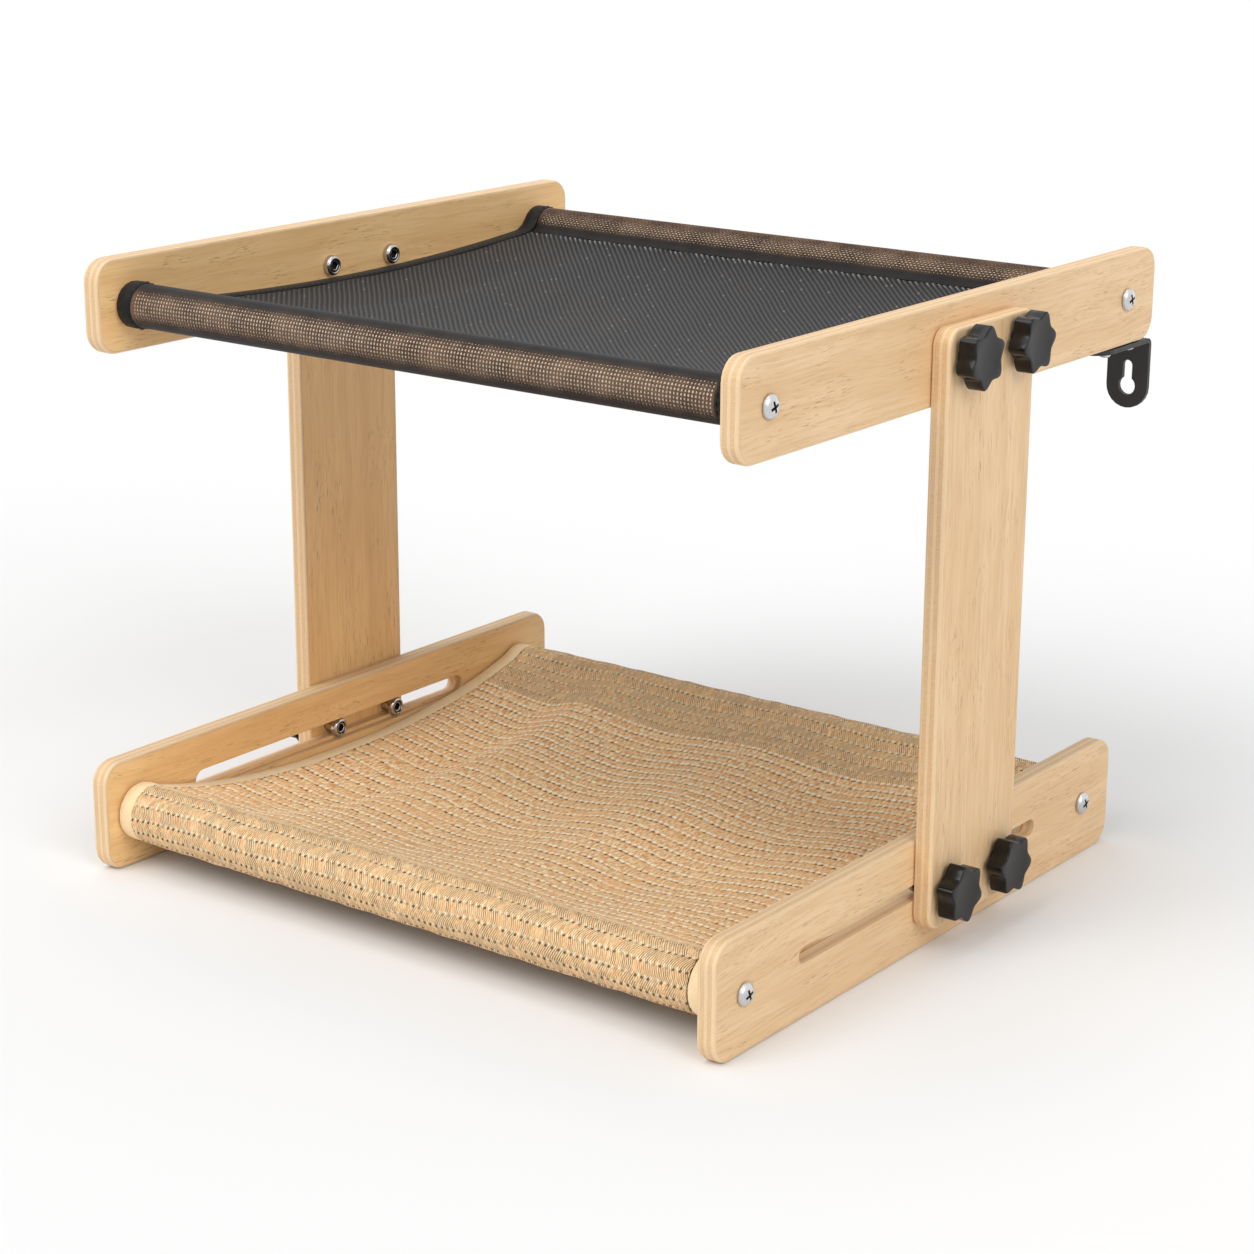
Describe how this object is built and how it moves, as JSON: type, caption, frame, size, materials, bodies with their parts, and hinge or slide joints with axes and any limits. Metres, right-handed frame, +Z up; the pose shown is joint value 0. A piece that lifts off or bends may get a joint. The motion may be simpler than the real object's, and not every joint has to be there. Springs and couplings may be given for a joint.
{
  "type": "two-tier cat hammock",
  "caption": "Wooden pet hammock: a mesh bed on posts above a woven sisal bed, each hung on dowels between side rails; knobs clamp the posts in slots, so the top bed slides.",
  "frame": {"origin": "on the floor, below the middle of the whole object's bounding box in its rest position", "axes": "+X to the right across the beds, +Y from the front to the rear, +Z up"},
  "size_m": [0.5242, 0.4584, 0.38],
  "materials": {
    "birch_ply": "fine-sanded, clear matt lacquer",
    "beech_dowel": "plain turned beech",
    "black_mesh": "ribbed polyester mesh",
    "black_tape": "flat woven tape, slight sheen",
    "woven_sisal": "coarse braided sisal cord, stitched in rows",
    "cotton_tape": "plain cotton tape",
    "zinc_plated_steel": "bright zinc plate",
    "black_plastic": "glossy moulded nylon",
    "brass": "turned",
    "black_painted_steel": "satin black paint"
  },
  "bodies": {
    "lower_tier": {"lower_rail_left": "birch_ply", "lower_rail_right": "birch_ply", "lower_dowel_front": "beech_dowel", "lower_dowel_rear": "beech_dowel", "sisal_bed": "woven_sisal", "sisal_binding_left": "cotton_tape", "sisal_binding_right": "cotton_tape", "lower_screw_front_left": "zinc_plated_steel", "lower_screw_front_right": "zinc_plated_steel", "lower_screw_rear_left": "zinc_plated_steel", "lower_screw_rear_right": "zinc_plated_steel"},
    "upper_tier": {"upper_rail_left": "birch_ply", "post_left": "birch_ply", "mesh_binding_left": "black_tape", "wall_bracket_left": "black_painted_steel", "bracket_screw_front_left": "zinc_plated_steel", "upper_screw_front_left": "zinc_plated_steel", "bracket_screw_rear_left": "zinc_plated_steel", "upper_screw_rear_left": "zinc_plated_steel", "upper_rail_right": "birch_ply", "post_right": "birch_ply", "mesh_binding_right": "black_tape", "wall_bracket_right": "black_painted_steel", "bracket_screw_front_right": "zinc_plated_steel", "upper_screw_front_right": "zinc_plated_steel", "bracket_screw_rear_right": "zinc_plated_steel", "upper_screw_rear_right": "zinc_plated_steel", "upper_dowel_front": "beech_dowel", "upper_dowel_rear": "beech_dowel", "mesh_bed": "black_mesh", "clamp_bolt_upper_front_left": "zinc_plated_steel", "clamp_bolt_upper_front_right": "zinc_plated_steel", "clamp_bolt_upper_rear_left": "zinc_plated_steel", "clamp_bolt_upper_rear_right": "zinc_plated_steel", "clamp_bolt_lower_front_left": "zinc_plated_steel", "clamp_bolt_lower_front_right": "zinc_plated_steel", "clamp_bolt_lower_rear_left": "zinc_plated_steel", "clamp_bolt_lower_rear_right": "zinc_plated_steel"},
    "knob_upper_front_left": {"star_knob_upper_front_left": "black_plastic", "knob_bush_upper_front_left": "brass"},
    "knob_upper_front_right": {"star_knob_upper_front_right": "black_plastic", "knob_bush_upper_front_right": "brass"},
    "knob_upper_rear_left": {"star_knob_upper_rear_left": "black_plastic", "knob_bush_upper_rear_left": "brass"},
    "knob_upper_rear_right": {"star_knob_upper_rear_right": "black_plastic", "knob_bush_upper_rear_right": "brass"},
    "knob_lower_front_left": {"star_knob_lower_front_left": "black_plastic", "knob_bush_lower_front_left": "brass"},
    "knob_lower_front_right": {"star_knob_lower_front_right": "black_plastic", "knob_bush_lower_front_right": "brass"},
    "knob_lower_rear_left": {"star_knob_lower_rear_left": "black_plastic", "knob_bush_lower_rear_left": "brass"},
    "knob_lower_rear_right": {"star_knob_lower_rear_right": "black_plastic", "knob_bush_lower_rear_right": "brass"}
  },
  "joints": [
    {"name": "tier_slide", "type": "slide", "parent": "lower_tier", "child": "upper_tier", "axis": [0, 1, 0], "range_m": [-0.13, 0.061]},
    {"name": "turn_knob_upper_front_left", "type": "hinge", "parent": "upper_tier", "child": "knob_upper_front_left", "pos_m": [-0.2486, -0.01525, 0.3515], "axis": [-1, 0, 0], "continuous": true},
    {"name": "turn_knob_upper_front_right", "type": "hinge", "parent": "upper_tier", "child": "knob_upper_front_right", "pos_m": [0.2486, -0.01525, 0.3515], "axis": [1, 0, 0], "continuous": true},
    {"name": "turn_knob_upper_rear_left", "type": "hinge", "parent": "upper_tier", "child": "knob_upper_rear_left", "pos_m": [-0.2486, 0.04175, 0.3515], "axis": [-1, 0, 0], "continuous": true},
    {"name": "turn_knob_upper_rear_right", "type": "hinge", "parent": "upper_tier", "child": "knob_upper_rear_right", "pos_m": [0.2486, 0.04175, 0.3515], "axis": [1, 0, 0], "continuous": true},
    {"name": "turn_knob_lower_front_left", "type": "hinge", "parent": "upper_tier", "child": "knob_lower_front_left", "pos_m": [-0.2486, -0.01525, 0.038], "axis": [-1, 0, 0], "continuous": true},
    {"name": "turn_knob_lower_front_right", "type": "hinge", "parent": "upper_tier", "child": "knob_lower_front_right", "pos_m": [0.2486, -0.01525, 0.038], "axis": [1, 0, 0], "continuous": true},
    {"name": "turn_knob_lower_rear_left", "type": "hinge", "parent": "upper_tier", "child": "knob_lower_rear_left", "pos_m": [-0.2486, 0.04175, 0.038], "axis": [-1, 0, 0], "continuous": true},
    {"name": "turn_knob_lower_rear_right", "type": "hinge", "parent": "upper_tier", "child": "knob_lower_rear_right", "pos_m": [0.2486, 0.04175, 0.038], "axis": [1, 0, 0], "continuous": true}
  ]
}
